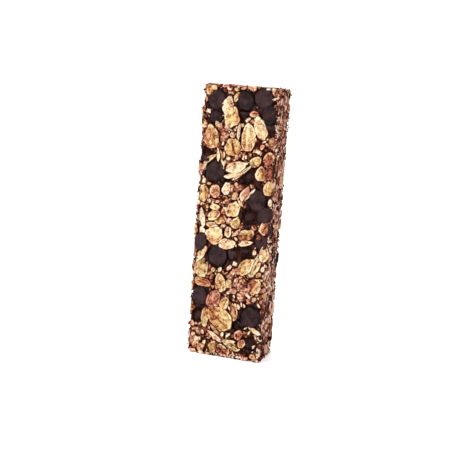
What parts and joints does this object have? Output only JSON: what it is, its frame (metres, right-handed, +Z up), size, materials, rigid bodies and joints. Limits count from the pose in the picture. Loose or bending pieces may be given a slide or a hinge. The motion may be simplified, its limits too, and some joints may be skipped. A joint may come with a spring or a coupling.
{
  "type": "granola bar",
  "caption": "Chewy granola bar of rolled oats, crisped rice and chocolate chips bound with syrup, a slim block standing upright on one cut end.",
  "frame": {"origin": "middle of the lower cut end, on the surface that the bar stands on", "axes": "+Z up along the bar's length; -Y out of the broad face that shows the large flakes and chips; +X to the right as that face is looked at"},
  "size_m": [0.027, 0.0154, 0.093],
  "materials": {
    "syrup_crumb": "sticky toasted syrup and crumb, satin",
    "toasted_oat": "toasted rolled oat with a thin syrup glaze, satin",
    "dark_chocolate": "dark chocolate, satin",
    "crisped_rice": "blistered crisped rice, rosy tan, satin"
  },
  "bodies": {
    "root": {"bar": "syrup_crumb"}
  },
  "joints": []
}
